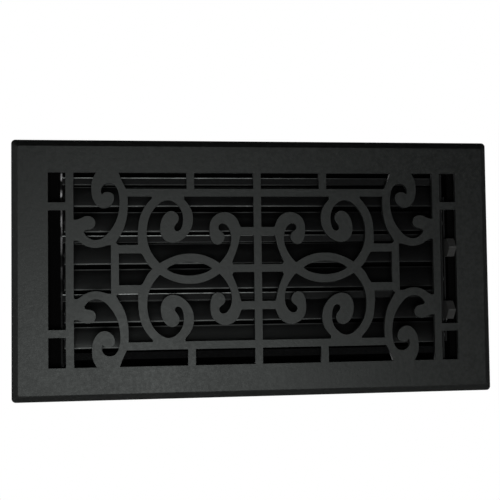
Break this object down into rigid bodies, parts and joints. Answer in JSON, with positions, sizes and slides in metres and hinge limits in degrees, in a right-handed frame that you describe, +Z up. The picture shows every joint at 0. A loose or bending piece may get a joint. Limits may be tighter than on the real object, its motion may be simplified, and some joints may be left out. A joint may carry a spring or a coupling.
{
  "type": "vent cover",
  "caption": "Rectangular wall vent cover: a cast scrollwork face over a sheet-steel damper whose tilting blades are opened and closed by small sliding knobs.",
  "frame": {"origin": "centre of the wall plane behind the face plate, where the duct opening's centre is", "axes": "+X to the right seen from the front, +Y through the wall into the duct, +Z up"},
  "size_m": [0.3556, 0.0351, 0.1888],
  "materials": {
    "face_coat": "fine-textured satin black powder coat on cast aluminium",
    "painted_sheet": "thin black paint on sheet steel, bare at cut edges",
    "sheet_steel": "dark sheet steel",
    "bright_steel": "plated steel",
    "knob_plastic": "satin black moulded plastic",
    "crank_plastic": "dark moulded plastic"
  },
  "bodies": {
    "register": {"face_plate": "face_coat", "left_end_plate": "sheet_steel", "right_end_plate": "sheet_steel", "top_rail": "painted_sheet", "upper_cross_rail": "painted_sheet", "lower_cross_rail": "painted_sheet", "bottom_rail": "painted_sheet", "rail_rivets": "bright_steel", "upper_bar_guides": "bright_steel", "lower_bar_guides": "bright_steel", "damper_screws": "bright_steel"},
    "upper_slide": {"upper_slide_bar": "sheet_steel", "upper_knob": "knob_plastic"},
    "lower_slide": {"lower_slide_bar": "sheet_steel", "lower_knob": "knob_plastic"},
    "damper_1": {"blade_1": "painted_sheet", "pivot_1": "bright_steel", "crank_1": "crank_plastic"},
    "damper_2": {"blade_2": "painted_sheet", "pivot_2": "bright_steel", "crank_2": "crank_plastic"},
    "damper_3": {"blade_3": "painted_sheet", "pivot_3": "bright_steel", "crank_3": "crank_plastic"},
    "damper_4": {"blade_4": "painted_sheet", "pivot_4": "bright_steel", "crank_4": "crank_plastic"},
    "damper_5": {"blade_5": "painted_sheet", "pivot_5": "bright_steel", "crank_5": "crank_plastic"},
    "damper_6": {"blade_6": "painted_sheet", "pivot_6": "bright_steel", "crank_6": "crank_plastic"}
  },
  "joints": [
    {"name": "upper_damper_slide", "type": "slide", "parent": "register", "child": "upper_slide", "axis": [0, 0, -1], "range_m": [-0.00275, 0.00581]},
    {"name": "lower_damper_slide", "type": "slide", "parent": "register", "child": "lower_slide", "axis": [0, 0, 1], "range_m": [-0.00275, 0.00581]},
    {"name": "damper_1_hinge", "type": "hinge", "parent": "register", "child": "damper_1", "pos_m": [0, 0.012, 0.0537], "axis": [-1, 0, 0], "range_deg": [-27, 57]},
    {"name": "damper_2_hinge", "type": "hinge", "parent": "register", "child": "damper_2", "pos_m": [0, 0.012, 0.03495], "axis": [-1, 0, 0], "range_deg": [-27, 57]},
    {"name": "damper_3_hinge", "type": "hinge", "parent": "register", "child": "damper_3", "pos_m": [0, 0.012, 0.0111], "axis": [-1, 0, 0], "range_deg": [-27, 57]},
    {"name": "damper_4_hinge", "type": "hinge", "parent": "register", "child": "damper_4", "pos_m": [0, 0.012, -0.00765], "axis": [-1, 0, 0], "range_deg": [-27, 57]},
    {"name": "damper_5_hinge", "type": "hinge", "parent": "register", "child": "damper_5", "pos_m": [0, 0.012, -0.0315], "axis": [-1, 0, 0], "range_deg": [-27, 57]},
    {"name": "damper_6_hinge", "type": "hinge", "parent": "register", "child": "damper_6", "pos_m": [0, 0.012, -0.05025], "axis": [-1, 0, 0], "range_deg": [-27, 57]}
  ],
  "couplings": [
    {"joint": "damper_1_hinge", "follows": "upper_damper_slide", "rad_per_m": 171.17},
    {"joint": "damper_2_hinge", "follows": "lower_damper_slide", "rad_per_m": 171.17},
    {"joint": "damper_3_hinge", "follows": "upper_damper_slide", "rad_per_m": 171.17},
    {"joint": "damper_4_hinge", "follows": "lower_damper_slide", "rad_per_m": 171.17},
    {"joint": "damper_5_hinge", "follows": "upper_damper_slide", "rad_per_m": 171.17},
    {"joint": "damper_6_hinge", "follows": "lower_damper_slide", "rad_per_m": 171.17}
  ]
}
